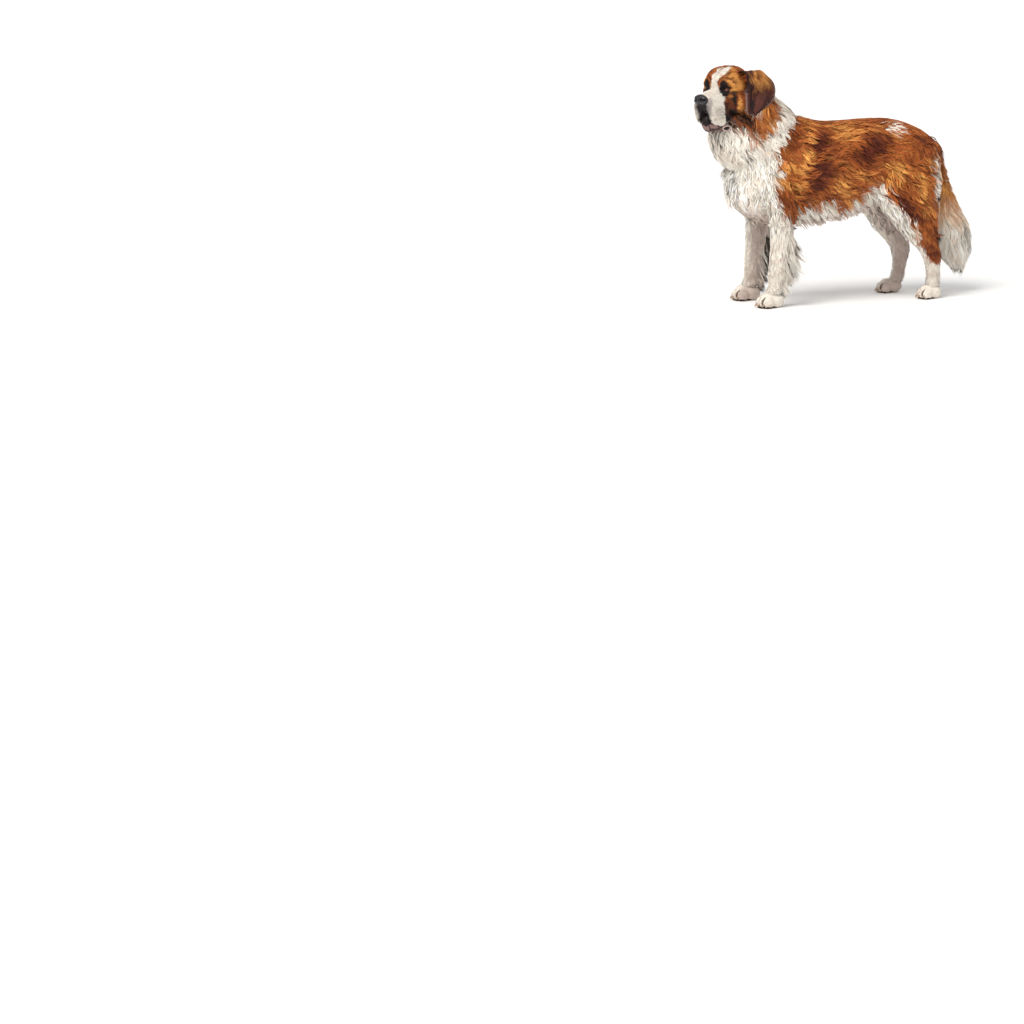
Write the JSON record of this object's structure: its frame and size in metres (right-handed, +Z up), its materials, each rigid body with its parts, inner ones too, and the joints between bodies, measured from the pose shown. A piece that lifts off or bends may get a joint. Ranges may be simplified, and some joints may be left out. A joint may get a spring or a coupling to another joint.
{
  "type": "standing saint bernard dog",
  "caption": "Life-size Saint Bernard standing square with its head turned, long-haired, white and rust coat, a still museum-type model of the animal.",
  "frame": {"origin": "on the floor below the middle of the dog's bounding box", "axes": "+X to the dog's left, +Y from its nose towards its tail, +Z up"},
  "size_m": [0.353, 1.256, 0.9845],
  "materials": {
    "body_coat": "long wavy rust-brown dog hair",
    "ruff_coat": "long white dog hair on the neck and chest",
    "tail_coat": "long plume of tan hair that ends white",
    "leg_coat": "short white dog hair",
    "head_coat": "short rust hair with a white blaze and muzzle and a dark mask",
    "ear_coat": "soft dark-brown hair",
    "lip_skin": "moist dark lip with white hair below",
    "nose_leather": "moist pebbled black nose leather",
    "eye": "wet brown eye, opaque"
  },
  "bodies": {
    "root": {"ear_left": "ear_coat", "ear_right": "ear_coat", "eye_left": "eye", "eye_right": "eye", "forearm_left": "leg_coat", "forearm_right": "leg_coat", "forepaw_left": "leg_coat", "forepaw_right": "leg_coat", "head": "head_coat", "hindpaw_left": "leg_coat", "hindpaw_right": "leg_coat", "lower_jaw": "lip_skin", "neck": "ruff_coat", "nose": "nose_leather", "shank_left": "leg_coat", "shank_right": "leg_coat", "shoulder_left": "body_coat", "shoulder_right": "body_coat", "tail": "tail_coat", "thigh_left": "body_coat", "thigh_right": "body_coat", "torso": "body_coat"}
  },
  "joints": []
}
